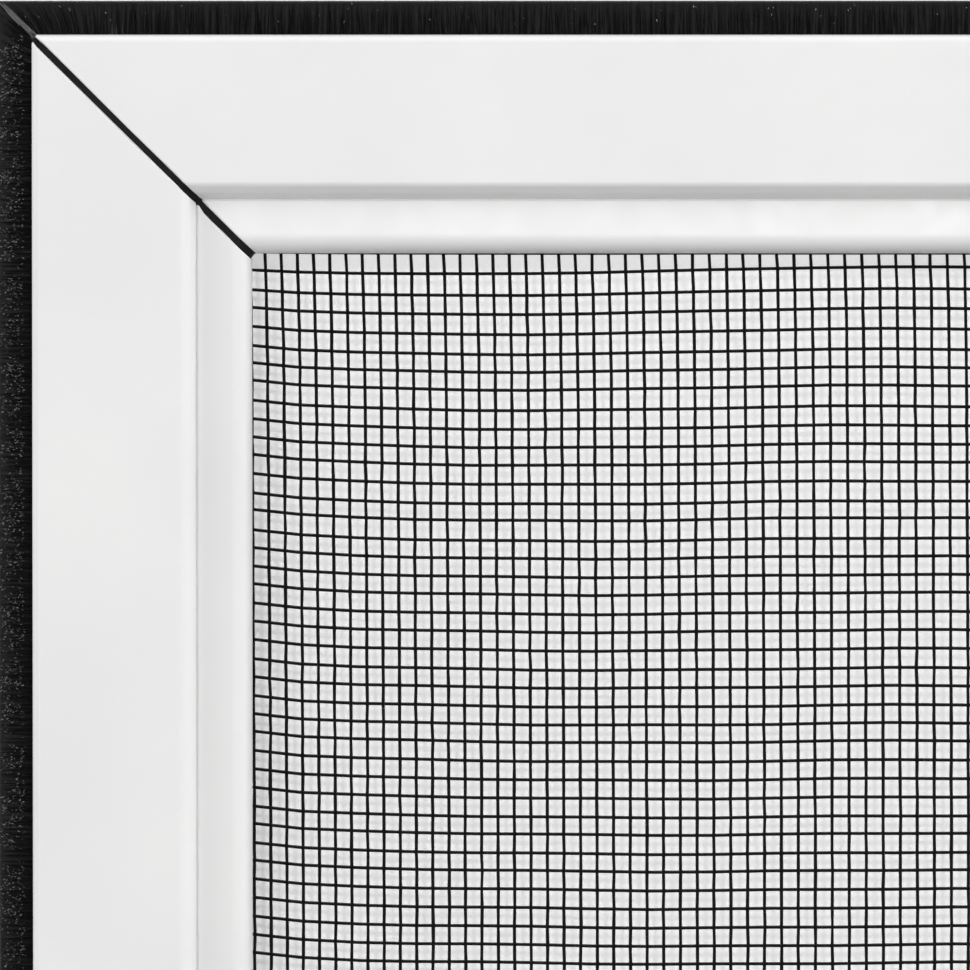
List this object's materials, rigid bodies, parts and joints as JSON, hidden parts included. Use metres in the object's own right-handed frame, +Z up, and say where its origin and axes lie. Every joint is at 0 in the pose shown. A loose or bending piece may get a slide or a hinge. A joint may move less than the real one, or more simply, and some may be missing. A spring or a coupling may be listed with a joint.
{
  "type": "window screen frame",
  "caption": "Rectangular insect screen for a window: mitred hollow aluminium rails with a brush round the edge, a woven net held by a cord in a groove, and hooks on the back.",
  "frame": {"origin": "centre of the screen in the plane of the rails' back faces", "axes": "+X to the right and +Z up as seen from the front, +Y from the front to the back"},
  "size_m": [0.4062, 0.0234, 0.5062],
  "materials": {
    "white_powder_coat": "smooth satin white powder coat on extruded aluminium",
    "black_nylon": "moulded black nylon, matt",
    "net_yarn": "black plastic-coated glass yarn, satin",
    "brush_pile": "black polypropylene pile",
    "brush_backing": "black woven and coated backing strip",
    "spline_cord": "black soft vinyl cord",
    "hook_steel": "stainless strip, fine brushed",
    "screw_steel": "zinc-plated screws"
  },
  "bodies": {
    "root": {"top_rail": "white_powder_coat", "top_brush_backing": "brush_backing", "top_brush_pile": "brush_pile", "top_spline": "spline_cord", "right_stile": "white_powder_coat", "right_brush_backing": "brush_backing", "right_brush_pile": "brush_pile", "right_spline": "spline_cord", "bottom_rail": "white_powder_coat", "bottom_brush_backing": "brush_backing", "bottom_brush_pile": "brush_pile", "bottom_spline": "spline_cord", "left_stile": "white_powder_coat", "left_brush_backing": "brush_backing", "left_brush_pile": "brush_pile", "left_spline": "spline_cord", "top_left_corner_key": "black_nylon", "top_left_hook": "hook_steel", "top_right_corner_key": "black_nylon", "top_right_hook": "hook_steel", "bottom_right_corner_key": "black_nylon", "bottom_right_hook": "hook_steel", "bottom_left_corner_key": "black_nylon", "bottom_left_hook": "hook_steel", "insect_net": "net_yarn", "hook_screws": "screw_steel"}
  },
  "joints": []
}
